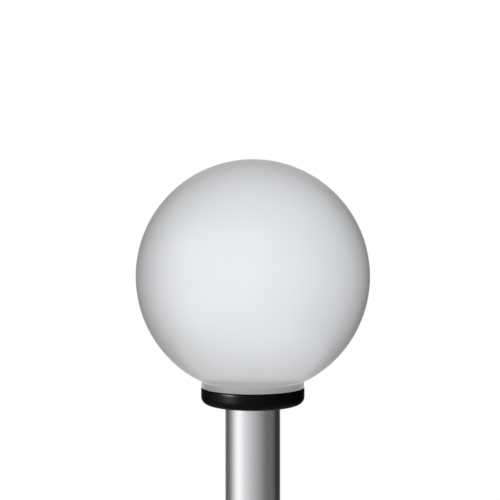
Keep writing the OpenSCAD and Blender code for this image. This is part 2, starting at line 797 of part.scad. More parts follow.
earth_route = [
    [pole_x[2], lead_stop_y, pole_z],
    [pole_x[2], block_y, pole_z],
    [pole_x[2], block_y - 3, pole_z],
    [pole_x[2] + 0.2, 5, pole_z - 0.7],
    [pole_x[2] + 0.4, -3, pole_z - 2],
    [pole_x[2], -8.5, tag_z + 0.7],
    tag_point(tag_end_x + 2.5),
    tag_point(tag_end_x),
    tag_point(tag_end_x - tag_barrel_l + 0.5)
];

// A point on the axis of the tag's barrel
function tag_point(d) = [d * cos(tag_turn), d * sin(tag_turn) - fixing_r, tag_z];

// Catmull-Rom points through a route
function smooth_route(p, steps) = [
    for (i = [0:len(p) - 2]) for (k = [0:steps - 1])
        let (
            t = k / steps,
            a = p[max(i - 1, 0)], b = p[i], c = p[i + 1], d = p[min(i + 2, len(p) - 1)]
        ) (b * 2 + (c - a) * t + (a * 2 - b * 5 + c * 4 - d) * t * t + (b * 3 - a - c * 3 + d) * t * t * t) / 2,
    p[len(p) - 1]
];

function unit(v) = v / norm(v);

// Direction of the route at one of its points
function heading(p, i) = unit(p[min(i + 1, len(p) - 1)] - p[max(i - 1, 0)]);

// Closed tube of eight sides along a route
module lead(route) {
    sides = 8;
    p = smooth_route(route, 4);
    last = len(p) - 1;
    points = [
        for (i = [0:last])
            let (
                h = heading(p, i),
                u = unit(cross(h, abs(h[0]) < 0.8 ? [1, 0, 0] : [0, 1, 0])),
                v = cross(h, u)
            )
            for (k = [0:sides - 1]) p[i] + (u * cos(k * 360 / sides) + v * sin(k * 360 / sides)) * lead_d / 2
    ];
    faces = concat(
        [[for (k = [0:sides - 1]) k]],
        [[for (k = [sides - 1:-1:0]) last * sides + k]],
        [
            for (i = [0:last - 1]) for (k = [0:sides - 1])
                let (a = i * sides + k, b = i * sides + (k + 1) % sides)
                each [[a, a + sides, b], [b, a + sides, b + sides]]
        ]
    );
    polyhedron(points, faces);
}

module live_lead() { color("saddlebrown") lead(live_route); }
module neutral_lead() { color("royalblue") lead(neutral_route); }
module earth_lead() { color("forestgreen") lead(earth_route); }

foot();
foot_set_screws();
post();
head_plug();
post_gasket();
collar();
cable_grommet();
globe_gasket();
globe();
clamp_ring();
clamp_screws();
holder_bracket();
bracket_screws();
holder_body();
holder_screws();
holder_terminals();
terminal_grub_screws();
screw_shell();
centre_contact();
lamp();
terminal_block();
terminal_sleeves();
terminal_screws();
block_screw();
earth_screw();
earth_washer();
earth_tag();
live_lead();
neutral_lead();
earth_lead();
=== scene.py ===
import math

import bpy
import numpy as np
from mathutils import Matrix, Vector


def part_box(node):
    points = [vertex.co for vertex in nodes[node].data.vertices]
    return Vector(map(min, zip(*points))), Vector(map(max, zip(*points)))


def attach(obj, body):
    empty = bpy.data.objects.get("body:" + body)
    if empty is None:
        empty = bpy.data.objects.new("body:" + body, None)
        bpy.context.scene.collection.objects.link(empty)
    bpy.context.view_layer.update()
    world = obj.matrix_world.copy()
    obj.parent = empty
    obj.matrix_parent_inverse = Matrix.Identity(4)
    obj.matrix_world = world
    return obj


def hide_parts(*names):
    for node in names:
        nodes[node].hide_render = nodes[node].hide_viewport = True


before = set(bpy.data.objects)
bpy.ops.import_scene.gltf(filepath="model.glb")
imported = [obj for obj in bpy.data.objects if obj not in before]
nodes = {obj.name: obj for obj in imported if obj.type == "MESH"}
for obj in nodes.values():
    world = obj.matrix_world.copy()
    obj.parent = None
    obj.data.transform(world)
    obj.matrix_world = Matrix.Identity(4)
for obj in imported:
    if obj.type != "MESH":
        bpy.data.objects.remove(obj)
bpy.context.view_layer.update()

# Foot: a sand-cast aluminium plate with a hub, shot-blasted and left bare. The skin is dull and pebbled by
# the sand, and only the four pads round the ground bolts are spot-faced, which leaves fine bright rings. It
# stands on the ground by its flat underside, and the bore of its hub takes the post.

MM = 0.001
BOLT_CIRCLE_R = 62 * MM
BOLT_PAD_R = 12 * MM
BOLT_PAD_Z = 9.5 * MM
FACE_BAND = 0.05 * MM
CUTTER_PITCH = 0.7 * MM
SAND_GRAIN = 1.3 * MM
MOULD_SWELL = 16 * MM
DIAGONAL = math.sqrt(0.5)


def linear(hex_colour):
    """sRGB hex to linear RGBA: a channel c becomes c / 12.92 at the dark end, and ((c + 0.055) / 1.055) to
    the power 2.4 above it."""
    c = np.array([int(hex_colour[i:i + 2], 16) / 255 for i in (1, 3, 5)])
    c = np.where(c <= 0.04045, c / 12.92, ((c + 0.055) / 1.055) ** 2.4)
    return (*[float(v) for v in c], 1.0)


def add(tree, kind, sockets=None, **settings):
    """Adds one node: settings go on the node, and each of sockets is linked if it is an output, or set."""
    node = tree.nodes.new(kind)
    for key, value in settings.items():
        setattr(node, key, value)
    for key, value in (sockets or {}).items():
        if isinstance(value, bpy.types.NodeSocket):
            tree.links.new(value, node.inputs[key])
        else:
            node.inputs[key].default_value = value
    return node


def blank(owner):
    """Turns on the nodes of a material or a world, and returns its tree with no node in it."""
    owner.use_nodes = True
    owner.node_tree.nodes.clear()
    return owner.node_tree


def surface(name, numbers):
    """A material of one Principled shader with its plain numbers on the shader's own sockets. Returns the
    material, its tree, the shader and the Object coordinates, which are metres in the part's own frame."""
    material = bpy.data.materials.new(name)
    tree = blank(material)
    shader = add(tree, "ShaderNodeBsdfPrincipled", numbers)
    add(tree, "ShaderNodeOutputMaterial", {"Surface": shader.outputs["BSDF"]})
    where = add(tree, "ShaderNodeTexCoord").outputs["Object"]
    return material, tree, shader, where


def dress(material, *names):
    """Puts the material on CAD nodes or on pieces, in place of what they had."""
    for name in names:
        mesh = (nodes.get(name) or bpy.data.objects[name]).data
        mesh.materials.clear()
        mesh.materials.append(material)


sand_cast, tree, shader, where = surface("sand_cast_aluminium", {"Metallic": 1.0})
# The grains of the sand, and the slow swell of the mould's wall
grit = add(tree, "ShaderNodeTexNoise", {
    "Vector": where, "Scale": 1 / SAND_GRAIN, "Detail": 3.0, "Roughness": 0.6,
})
swell = add(tree, "ShaderNodeTexNoise", {"Vector": where, "Scale": 1 / MOULD_SWELL, "Detail": 2.0})
skin = add(tree, "ShaderNodeMix", {
    0: swell.outputs["Fac"], 6: linear("#a4a6a8"), 7: linear("#c6c8c9"),
}, data_type="RGBA")
# Distance from the nearest pad's centre: the four pads are one another's mirror images in x and y
folded = add(tree, "ShaderNodeVectorMath", {0: where}, operation="ABSOLUTE")
centred = add(tree, "ShaderNodeMapping", {
    "Vector": folded.outputs[0],
    "Location": (-BOLT_CIRCLE_R * DIAGONAL, -BOLT_CIRCLE_R * DIAGONAL, 0),
    "Scale": (1, 1, 0),
})
from_pad = add(tree, "ShaderNodeVectorMath", {0: centred.outputs[0]}, operation="LENGTH")
on_pad = add(tree, "ShaderNodeMath", {0: from_pad.outputs["Value"], 1: BOLT_PAD_R}, operation="LESS_THAN")
height = add(tree, "ShaderNodeSeparateXYZ", {0: where})
raised = add(tree, "ShaderNodeMath", {
    0: height.outputs["Z"], 1: BOLT_PAD_Z - FACE_BAND,
}, operation="GREATER_THAN")
above = add(tree, "ShaderNodeMath", {
    0: height.outputs["Z"], 1: BOLT_PAD_Z + FACE_BAND,
}, operation="LESS_THAN")
faced = add(tree, "ShaderNodeMath", {0: on_pad.outputs[0], 1: raised.outputs[0]}, operation="MULTIPLY")
faced = add(tree, "ShaderNodeMath", {0: faced.outputs[0], 1: above.outputs[0]}, operation="MULTIPLY")
# Rings of the spot-facing cutter
turn = add(tree, "ShaderNodeMath", {
    0: from_pad.outputs["Value"], 1: math.tau / CUTTER_PITCH,
}, operation="MULTIPLY")
ring = add(tree, "ShaderNodeMath", {0: turn.outputs[0]}, operation="SINE")
relief = add(tree, "ShaderNodeMix", {0: faced.outputs[0], 2: grit.outputs["Fac"], 3: ring.outputs[0]})
depth = add(tree, "ShaderNodeMapRange", {"Value": faced.outputs[0], "To Min": 0.7, "To Max": 0.06})
swelling = add(tree, "ShaderNodeBump", {
    "Height": swell.outputs["Fac"], "Distance": 0.6 * MM, "Strength": 0.5,
})
pebbled = add(tree, "ShaderNodeBump", {
    "Height": relief.outputs[0], "Distance": 0.2 * MM, "Strength": depth.outputs[0],
    "Normal": swelling.outputs["Normal"],
})
bare = add(tree, "ShaderNodeMix", {
    0: faced.outputs[0], 6: skin.outputs[2], 7: linear("#c3c5c7"),
}, data_type="RGBA")
dull = add(tree, "ShaderNodeMapRange", {"Value": grit.outputs["Fac"], "To Min": 0.46, "To Max": 0.66})
sheen = add(tree, "ShaderNodeMix", {0: faced.outputs[0], 2: dull.outputs[0], 3: 0.26})
tree.links.new(bare.outputs[2], shader.inputs["Base Color"])
tree.links.new(sheen.outputs[0], shader.inputs["Roughness"])
tree.links.new(pebbled.outputs["Normal"], shader.inputs["Normal"])
dress(sand_cast, "foot")

# Foot set screws: three socket screws of hardened steel with a black oxide
# finish, screwed in through the hub until their flat ends grip the post.
# The oil in the oxide makes a soft dark sheen with a few rubbed spots.

OXIDE_CLOUD = 2 * MM
OXIDE_GRAIN = 0.3 * MM

black_oxide, tree, shader, where = surface("black_oxide_steel", {"Metallic": 1.0})
# The oxide is cloudy, with a fine grain
cloud = add(tree, "ShaderNodeTexNoise", {"Vector": where, "Scale": 1 / OXIDE_CLOUD, "Detail": 3.0})
grain = add(tree, "ShaderNodeTexNoise", {"Vector": where, "Scale": 1 / OXIDE_GRAIN, "Detail": 1.0})
oxide = add(tree, "ShaderNodeMix", {
    0: cloud.outputs["Fac"], 6: linear("#232427"), 7: linear("#3d3e42"),
}, data_type="RGBA")
rubbed = add(tree, "ShaderNodeMapRange", {"Value": cloud.outputs["Fac"], "To Min": 0.5, "To Max": 0.34})
fine = add(tree, "ShaderNodeBump", {"Height": grain.outputs["Fac"], "Distance": 0.02 * MM, "Strength": 0.5})
tree.links.new(oxide.outputs[2], shader.inputs["Base Color"])
tree.links.new(rubbed.outputs[0], shader.inputs["Roughness"])
tree.links.new(fine.outputs["Normal"], shader.inputs["Normal"])
dress(black_oxide, "foot_set_screws")

# Post: an extruded aluminium tube, brushed along its length and clear anodised, cut square at both ends.
# The brushing spreads each reflection sideways into soft bands, and the anodic film makes it satin.

BRUSH_LINE_WIDTH = 0.9 * MM
BRUSH_LINE_LENGTH = 110 * MM
EXTRUSION_BAND_WIDTH = 7 * MM
EXTRUSION_BAND_LENGTH = 900 * MM

brushed, tree, shader, where = surface("brushed_anodised_aluminium", {"Metallic": 1.0, "Anisotropic": 0.4})
# Real brush lines are a tenth as wide, which is too fine to show, so these are drawn coarser and fainter.
# Over them lie faint extrusion bands that run the whole length.
lines = add(tree, "ShaderNodeTexNoise", {
    "Vector": add(tree, "ShaderNodeMapping", {
        "Vector": where, "Scale": (1 / BRUSH_LINE_WIDTH, 1 / BRUSH_LINE_WIDTH, 1 / BRUSH_LINE_LENGTH),
    }).outputs[0],
    "Scale": 1.0, "Detail": 3.0, "Roughness": 0.6,
})
bands = add(tree, "ShaderNodeTexNoise", {
    "Vector": add(tree, "ShaderNodeMapping", {
        "Vector": where,
        "Scale": (1 / EXTRUSION_BAND_WIDTH, 1 / EXTRUSION_BAND_WIDTH, 1 / EXTRUSION_BAND_LENGTH),
    }).outputs[0],
    "Scale": 1.0, "Detail": 1.0,
})
tone = add(tree, "ShaderNodeMix", {0: 0.4, 2: lines.outputs["Fac"], 3: bands.outputs["Fac"]})
film = add(tree, "ShaderNodeMix", {
    0: tone.outputs[0], 6: linear("#dcdddf"), 7: linear("#e6e6e8"),
}, data_type="RGBA")
satin = add(tree, "ShaderNodeMapRange", {"Value": lines.outputs["Fac"], "To Min": 0.22, "To Max": 0.29})
drawn = add(tree, "ShaderNodeBump", {
    "Height": lines.outputs["Fac"], "Distance": 0.01 * MM, "Strength": 0.4,
})
grain_way = add(tree, "ShaderNodeTangent", direction_type="RADIAL", axis="Z")
tree.links.new(film.outputs[2], shader.inputs["Base Color"])
tree.links.new(satin.outputs[0], shader.inputs["Roughness"])
tree.links.new(drawn.outputs["Normal"], shader.inputs["Normal"])
tree.links.new(grain_way.outputs[0], shader.inputs["Tangent"])
dress(brushed, "post")

# Head plug: a turned aluminium plug, pressed into the top of the post with
# its flange on the end of the tube. The lathe leaves fine rings on the
# flange and fine hoops on the barrel, which catch the light in thin arcs.

FEED_PITCH = 0.45 * MM
STAIN = 9 * MM

turned, tree, shader, where = surface("turned_aluminium", {"Metallic": 1.0, "Anisotropic": 0.3})
# Feed marks, by distance from the axis on the flange and by height on the barrel
flat = add(tree, "ShaderNodeMapping", {"Vector": where, "Scale": (1, 1, 0)})
out = add(tree, "ShaderNodeVectorMath", {0: flat.outputs[0]}, operation="LENGTH")
height = add(tree, "ShaderNodeSeparateXYZ", {0: where})
along = add(tree, "ShaderNodeMath", {0: out.outputs["Value"], 1: height.outputs["Z"]}, operation="ADD")
feed = add(tree, "ShaderNodeMath", {0: along.outputs[0], 1: math.tau / FEED_PITCH}, operation="MULTIPLY")
mark = add(tree, "ShaderNodeMath", {0: feed.outputs[0]}, operation="SINE")
stain = add(tree, "ShaderNodeTexNoise", {"Vector": where, "Scale": 1 / STAIN, "Detail": 2.0})
bright = add(tree, "ShaderNodeMix", {
    0: stain.outputs["Fac"], 6: linear("#b9bbbe"), 7: linear("#cfd1d3"),
}, data_type="RGBA")
smooth = add(tree, "ShaderNodeMapRange", {"Value": stain.outputs["Fac"], "To Min": 0.24, "To Max": 0.36})
turning = add(tree, "ShaderNodeBump", {"Height": mark.outputs[0], "Distance": 0.008 * MM, "Strength": 0.6})
tree.links.new(bright.outputs[2], shader.inputs["Base Color"])
tree.links.new(smooth.outputs[0], shader.inputs["Roughness"])
tree.links.new(turning.outputs["Normal"], shader.inputs["Normal"])
dress(turned, "head_plug")

# Seals: the ring between plug and collar, the ring under the globe's lip and the cable grommet, all of
# black EPDM rubber. It is matt and a little dusty with bloom, and the cut faces are slightly grained.

BLOOM_PATCH = 5 * MM
CUT_GRAIN = 0.4 * MM

rubber, tree, shader, where = surface("epdm_rubber", {"Specular IOR Level": 0.35})
# The bloom lies in patches, over the grain of the cut
bloom = add(tree, "ShaderNodeTexNoise", {"Vector": where, "Scale": 1 / BLOOM_PATCH, "Detail": 3.0})
cut = add(tree, "ShaderNodeTexNoise", {"Vector": where, "Scale": 1 / CUT_GRAIN, "Detail": 2.0})
dusty = add(tree, "ShaderNodeMix", {
    0: bloom.outputs["Fac"], 6: linear("#141516"), 7: linear("#212224"),
}, data_type="RGBA")
matt = add(tree, "ShaderNodeMapRange", {"Value": bloom.outputs["Fac"], "To Min": 0.7, "To Max": 0.86})
grained = add(tree, "ShaderNodeBump", {
    "Height": cut.outputs["Fac"], "Distance": 0.04 * MM, "Strength": 0.5,
})
tree.links.new(dusty.outputs[2], shader.inputs["Base Color"])
tree.links.new(matt.outputs[0], shader.inputs["Roughness"])
tree.links.new(grained.outputs["Normal"], shader.inputs["Normal"])
dress(rubber, "post_gasket", "globe_gasket", "cable_grommet")

# Collar: one injection moulding of black polycarbonate, with a rim, a web with
# ribs under it and a socket over the post. Its mould is finely spark-eroded,
# so it is satin, and the rounded top edge holds one narrow highlight.

SPARK_GRAIN = 0.5 * MM
FLOW_SHADE = 22 * MM
SOFT_EDGE_R = 4.5 * MM

black_plastic, tree, shader, where = surface("moulded_black_polycarbonate", {
    "IOR": 1.58, "Specular IOR Level": 0.01, "Coat Weight": 0.11, "Coat Roughness": 0.27,
})
# The grain of the spark-eroded mould, and the slow shading left by the flow of the plastic
spark = add(tree, "ShaderNodeTexNoise", {
    "Vector": where, "Scale": 1 / SPARK_GRAIN, "Detail": 2.0, "Roughness": 0.5,
})
flow = add(tree, "ShaderNodeTexNoise", {"Vector": where, "Scale": 1 / FLOW_SHADE, "Detail": 2.0})
tint = add(tree, "ShaderNodeMix", {
    0: flow.outputs["Fac"], 6: linear("#030506"), 7: linear("#050809"),
}, data_type="RGBA")
gloss = add(tree, "ShaderNodeMapRange", {"Value": spark.outputs["Fac"], "To Min": 0.34, "To Max": 0.46})
# The moulded edges are soft, which the shading alone shows
softened = add(tree, "ShaderNodeBevel", {"Radius": SOFT_EDGE_R}, samples=16)
eroded = add(tree, "ShaderNodeBump", {
    "Height": spark.outputs["Fac"], "Distance": 0.012 * MM, "Strength": 0.5,
    "Normal": softened.outputs["Normal"],
})
tree.links.new(tint.outputs[2], shader.inputs["Base Color"])
tree.links.new(gloss.outputs[0], shader.inputs["Roughness"])
tree.links.new(eroded.outputs["Normal"], shader.inputs["Normal"])
tree.links.new(softened.outputs["Normal"], shader.inputs["Coat Normal"])
dress(black_plastic, "collar")

# Globe: opal acrylic, blown in one with its neck and etched satin. The
# white body scatters light in the wall, so it reads soft and even, darker
# towards the rim, and the lamp inside can't be seen while it is off.

NECK_BAND_H = 6.5 * MM
NECK_TOP_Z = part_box("collar")[1].z + NECK_BAND_H
NECK_SHADE_FROM_Z = NECK_TOP_Z + 9.5 * MM
NECK_SHADE_FULL_BELOW_Z = NECK_TOP_Z - 3.5 * MM
FILLER_CLOUD = 45 * MM
ETCHED_TOOTH = 0.8 * MM

opal, tree, shader, where = surface("opal_acrylic", {
    "IOR": 1.49, "Diffuse Roughness": 0.3, "Coat Weight": 1.0, "Coat Roughness": 0.3, "Coat IOR": 1.49,
})
# The wall's opal filler varies softly, and the etched skin has a fine tooth
filler = add(tree, "ShaderNodeTexNoise", {"Vector": where, "Scale": 1 / FILLER_CLOUD, "Detail": 2.0})
tooth = add(tree, "ShaderNodeTexNoise", {"Vector": where, "Scale": 1 / ETCHED_TOOTH, "Detail": 2.0})
milk = add(tree, "ShaderNodeMix", {
    0: filler.outputs["Fac"], 6: linear("#eeeff1"), 7: linear("#f2f3f4"),
}, data_type="RGBA")
# Painted shade: the white turns grey down the neck, towards the black
# collar it stands in under the globe
height = add(tree, "ShaderNodeSeparateXYZ", {0: where})
neck_shade_and_sheen_mask = add(tree, "ShaderNodeMapRange", {
    "Value": height.outputs["Z"], "From Min": NECK_SHADE_FROM_Z, "From Max": NECK_SHADE_FULL_BELOW_Z,
}, interpolation_type="SMOOTHSTEP")
painted_neck_shade = add(tree, "ShaderNodeMix", {
    0: neck_shade_and_sheen_mask.outputs[0], 6: milk.outputs[2], 7: linear("#aaabad"),
}, data_type="RGBA")
# At a glancing angle the matt skin of the neck is paler
glance = add(tree, "ShaderNodeMath", {0: neck_shade_and_sheen_mask.outputs[0], 1: 0.9}, operation="MULTIPLY")
etched = add(tree, "ShaderNodeMapRange", {"Value": tooth.outputs["Fac"], "To Min": 0.3, "To Max": 0.38})
skinned = add(tree, "ShaderNodeBump", {
    "Height": tooth.outputs["Fac"], "Distance": 0.01 * MM, "Strength": 0.35,
})
tree.links.new(painted_neck_shade.outputs[2], shader.inputs["Base Color"])
tree.links.new(etched.outputs[0], shader.inputs["Roughness"])
tree.links.new(glance.outputs[0], shader.inputs["Sheen Weight"])
tree.links.new(skinned.outputs["Normal"], shader.inputs["Normal"])
dress(opal, "globe")

# Steelwork of the head: the clamp ring, the folded bracket and all the screws
# and washers are mild steel, zinc plated and clear passivated. The plating is
# bright grey with a breath of blue and straw, over the strip's rolling grain.

ROLLED_WIDTH = 0.5 * MM
ROLLED_LENGTH = 14 * MM
PASSIVE_CLOUD = 7 * MM

zinc, tree, shader, where = surface("zinc_plated_steel", {"Metallic": 1.0})
# The rolling grain runs along x, under clouds of passivation
rolled = add(tree, "ShaderNodeTexNoise", {
    "Vector": add(tree, "ShaderNodeMapping", {
        "Vector": where, "Scale": (1 / ROLLED_LENGTH, 1 / ROLLED_WIDTH, 1 / ROLLED_WIDTH),
    }).outputs[0],
    "Scale": 1.0, "Detail": 2.0,
})
clouds = add(tree, "ShaderNodeTexNoise", {"Vector": where, "Scale": 1 / PASSIVE_CLOUD, "Detail": 2.0})
passive = add(tree, "ShaderNodeMix", {
    0: clouds.outputs["Fac"], 6: linear("#b4bac2"), 7: linear("#c9c7bc"),
}, data_type="RGBA")
plated = add(tree, "ShaderNodeMapRange", {"Value": rolled.outputs["Fac"], "To Min": 0.24, "To Max": 0.4})
strip = add(tree, "ShaderNodeBump", {
    "Height": rolled.outputs["Fac"], "Distance": 0.015 * MM, "Strength": 0.5,
})
tree.links.new(passive.outputs[2], shader.inputs["Base Color"])
tree.links.new(plated.outputs[0], shader.inputs["Roughness"])
tree.links.new(strip.outputs["Normal"], shader.inputs["Normal"])
dress(
    zinc, "clamp_ring", "clamp_screws", "holder_bracket", "bracket_screws", "holder_screws",
    "terminal_screws", "block_screw", "earth_screw", "earth_washer",
)

# Lamp holder body: hard porcelain, pressed and glazed white. The glaze pools in a slow ripple and is nearly
# mirror smooth, with a few dark specks of the fired clay below it. Two screws from the bracket hold it.

GLAZE_RIPPLE = 6 * MM
SPECK_SPACING = 5 * MM

porcelain, tree, shader, where = surface("glazed_porcelain", {
    "IOR": 1.5, "Coat Weight": 0.6, "Coat Roughness": 0.04, "Coat IOR": 1.5,
})
# Each speck fades out between 0.04 and 0.07 of the spacing from its middle, so it is about 0.6 mm across
ripple = add(tree, "ShaderNodeTexNoise", {"Vector": where, "Scale": 1 / GLAZE_RIPPLE, "Detail": 1.0})
speck = add(tree, "ShaderNodeTexVoronoi", {"Vector": where, "Scale": 1 / SPECK_SPACING, "Randomness": 1.0})
spot = add(tree, "ShaderNodeMapRange", {
    "Value": speck.outputs["Distance"], "From Min": 0.04, "From Max": 0.07, "To Min": 0.35, "To Max": 0.0,
})
body = add(tree, "ShaderNodeMix", {
    0: ripple.outputs["Fac"], 6: linear("#ece8de"), 7: linear("#f3f0e8"),
}, data_type="RGBA")
fired = add(tree, "ShaderNodeMix", {
    0: spot.outputs[0], 6: body.outputs[2], 7: linear("#8b7c69"),
}, data_type="RGBA")
glaze = add(tree, "ShaderNodeMapRange", {"Value": ripple.outputs["Fac"], "To Min": 0.12, "To Max": 0.22})
pooled = add(tree, "ShaderNodeBump", {
    "Height": ripple.outputs["Fac"], "Distance": 0.12 * MM, "Strength": 0.4,
})
tree.links.new(fired.outputs[2], shader.inputs["Base Color"])
tree.links.new(glaze.outputs[0], shader.inputs["Roughness"])
tree.links.new(pooled.outputs["Normal"], shader.inputs["Normal"])
dress(porcelain, "holder_body")

# Brass parts: the holder's terminals, the rolled screw shell and the sleeves
# of the terminal block are bare brass. Spinning leaves fine hoops round the
# shell, and the metal is a little browned where it has been handled.

HOOP_PITCH = 0.35 * MM
TARNISH_PATCH = 4 * MM

brass, tree, shader, where = surface("bare_brass", {"Metallic": 1.0})
# The hoops climb the axis, over patches of tarnish
height = add(tree, "ShaderNodeSeparateXYZ", {0: where})
climb = add(tree, "ShaderNodeMath", {
    0: height.outputs["Z"], 1: math.tau / HOOP_PITCH,
}, operation="MULTIPLY")
hoop = add(tree, "ShaderNodeMath", {0: climb.outputs[0]}, operation="SINE")
tarnish = add(tree, "ShaderNodeTexNoise", {"Vector": where, "Scale": 1 / TARNISH_PATCH, "Detail": 3.0})
browned = add(tree, "ShaderNodeMix", {
    0: tarnish.outputs["Fac"], 6: linear("#b08b44"), 7: linear("#d8b566"),
}, data_type="RGBA")
polish = add(tree, "ShaderNodeMapRange", {"Value": tarnish.outputs["Fac"], "To Min": 0.38, "To Max": 0.22})
spun = add(tree, "ShaderNodeBump", {"Height": hoop.outputs[0], "Distance": 0.004 * MM, "Strength": 0.4})
tree.links.new(browned.outputs[2], shader.inputs["Base Color"])
tree.links.new(polish.outputs[0], shader.inputs["Roughness"])
tree.links.new(spun.outputs["Normal"], shader.inputs["Normal"])
dress(brass, "holder_terminals", "screw_shell", "terminal_sleeves")
dress(black_oxide, "terminal_grub_screws")

# Centre contact: a spring of phosphor bronze strip, bent up from the live rivet to the middle of the cap.
# The cold-rolled strip is reddish and satin, with lines along its length and a darker bloom of heat.

STRIP_LINE_WIDTH = 0.25 * MM
STRIP_LINE_LENGTH = 9 * MM
HEAT_BLOOM = 3 * MM

bronze, tree, shader, where = surface("phosphor_bronze", {"Metallic": 1.0})
# The rolling lines run along y
strip_lines = add(tree, "ShaderNodeTexNoise", {
    "Vector": add(tree, "ShaderNodeMapping", {
        "Vector": where, "Scale": (1 / STRIP_LINE_WIDTH, 1 / STRIP_LINE_LENGTH, 1 / STRIP_LINE_WIDTH),
    }).outputs[0],
    "Scale": 1.0, "Detail": 2.0,
})
heat = add(tree, "ShaderNodeTexNoise", {"Vector": where, "Scale": 1 / HEAT_BLOOM, "Detail": 2.0})
reddish = add(tree, "ShaderNodeMix", {
    0: heat.outputs["Fac"], 6: linear("#a5714a"), 7: linear("#c98f63"),
}, data_type="RGBA")
spring = add(tree, "ShaderNodeMapRange", {
    "Value": strip_lines.outputs["Fac"], "To Min": 0.25, "To Max": 0.38,
})
cold = add(tree, "ShaderNodeBump", {
    "Height": strip_lines.outputs["Fac"], "Distance": 0.006 * MM, "Strength": 0.5,
})
tree.links.new(reddish.outputs[2], shader.inputs["Base Color"])
tree.links.new(spring.outputs[0], shader.inputs["Roughness"])
tree.links.new(cold.outputs["Normal"], shader.inputs["Normal"])
dress(bronze, "centre_contact")

# Lamp: a sealed opal glass bulb on a pressed cap, one closed piece. From the
# foot up it is a solder end contact, a ring of black glass, the plated cap
# with its round thread, and the smooth white bulb, cemented into the cap.

LAMP_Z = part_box("lamp")[0].z
CONTACT_TOP_Z = LAMP_Z + 0.6 * MM
INSULATOR_TOP_Z = LAMP_Z + 3 * MM
CAP_TOP_Z = LAMP_Z + 27 * MM
BULB_CLOUD = 12 * MM
WIPE_MARK = 3 * MM

lamp_skin, tree, shader, where = surface("opal_glass_and_plated_cap", {"IOR": 1.5})
height = add(tree, "ShaderNodeSeparateXYZ", {0: where})
past_contact = add(tree, "ShaderNodeMath", {
    0: height.outputs["Z"], 1: CONTACT_TOP_Z,
}, operation="GREATER_THAN")
past_ring = add(tree, "ShaderNodeMath", {
    0: height.outputs["Z"], 1: INSULATOR_TOP_Z,
}, operation="GREATER_THAN")
past_cap = add(tree, "ShaderNodeMath", {0: height.outputs["Z"], 1: CAP_TOP_Z}, operation="GREATER_THAN")
# The coat inside the bulb is cloudy, and the cap has been wiped
coat = add(tree, "ShaderNodeTexNoise", {"Vector": where, "Scale": 1 / BULB_CLOUD, "Detail": 2.0})
wiped = add(tree, "ShaderNodeTexNoise", {"Vector": where, "Scale": 1 / WIPE_MARK, "Detail": 2.0})
solder = add(tree, "ShaderNodeMix", {
    0: wiped.outputs["Fac"], 6: linear("#85868a"), 7: linear("#a9aaad"),
}, data_type="RGBA")
ring = add(tree, "ShaderNodeMix", {
    0: wiped.outputs["Fac"], 6: linear("#16131c"), 7: linear("#221d2b"),
}, data_type="RGBA")
cap = add(tree, "ShaderNodeMix", {
    0: wiped.outputs["Fac"], 6: linear("#b3b4b3"), 7: linear("#cbcbc8"),
}, data_type="RGBA")
bulb = add(tree, "ShaderNodeMix", {
    0: coat.outputs["Fac"], 6: linear("#eeede8"), 7: linear("#f5f4f0"),
}, data_type="RGBA")
low = add(tree, "ShaderNodeMix", {
    0: past_contact.outputs[0], 6: solder.outputs[2], 7: ring.outputs[2],
}, data_type="RGBA")
mid = add(tree, "ShaderNodeMix", {
    0: past_ring.outputs[0], 6: low.outputs[2], 7: cap.outputs[2],
}, data_type="RGBA")
whole = add(tree, "ShaderNodeMix", {
    0: past_cap.outputs[0], 6: mid.outputs[2], 7: bulb.outputs[2],
}, data_type="RGBA")
# Solder and cap are metal, the ring and the bulb are not
bare_end = add(tree, "ShaderNodeMath", {0: 1.0, 1: past_contact.outputs[0]}, operation="SUBTRACT")
in_cap = add(tree, "ShaderNodeMath", {
    0: past_ring.outputs[0], 1: past_cap.outputs[0],
}, operation="SUBTRACT")
metal = add(tree, "ShaderNodeMath", {0: bare_end.outputs[0], 1: in_cap.outputs[0]}, operation="ADD")
worn = add(tree, "ShaderNodeMapRange", {"Value": wiped.outputs["Fac"], "To Min": 0.26, "To Max": 0.4})
shine = add(tree, "ShaderNodeMix", {0: past_cap.outputs[0], 2: worn.outputs[0], 3: 0.1})
dimple = add(tree, "ShaderNodeBump", {
    "Height": wiped.outputs["Fac"], "Distance": 0.02 * MM, "Strength": 0.3,
})
tree.links.new(whole.outputs[2], shader.inputs["Base Color"])
tree.links.new(metal.outputs[0], shader.inputs["Metallic"])
tree.links.new(shine.outputs[0], shader.inputs["Roughness"])
tree.links.new(dimple.outputs["Normal"], shader.inputs["Normal"])
dress(lamp_skin, "lamp")

# Terminal block: three poles moulded in one strip of natural polyamide, fixed by one screw into the head
# plug. The plastic is milky and slightly translucent, with a faint satin texture from the mould.

MOULD_TEXTURE = 0.4 * MM
YELLOWED_PATCH = 6 * MM

polyamide, tree, shader, where = surface("natural_polyamide", {
    "IOR": 1.53,
    "Subsurface Weight": 0.2, "Subsurface Radius": (1.0, 0.8, 0.6), "Subsurface Scale": 1.5 * MM,
})
# The mould's texture, and patches that have yellowed
mould = add(tree, "ShaderNodeTexNoise", {"Vector": where, "Scale": 1 / MOULD_TEXTURE, "Detail": 2.0})
yellow = add(tree, "ShaderNodeTexNoise", {"Vector": where, "Scale": 1 / YELLOWED_PATCH, "Detail": 2.0})
natural = add(tree, "ShaderNodeMix", {
    0: yellow.outputs["Fac"], 6: linear("#ddd6c0"), 7: linear("#e9e4d4"),
}, data_type="RGBA")
waxy = add(tree, "ShaderNodeMapRange", {"Value": mould.outputs["Fac"], "To Min": 0.36, "To Max": 0.5})
textured = add(tree, "ShaderNodeBump", {
    "Height": mould.outputs["Fac"], "Distance": 0.015 * MM, "Strength": 0.5,
})
tree.links.new(natural.outputs[2], shader.inputs["Base Color"])
tree.links.new(waxy.outputs[0], shader.inputs["Roughness"])
tree.links.new(textured.outputs["Normal"], shader.inputs["Normal"])
dress(polyamide, "terminal_block")

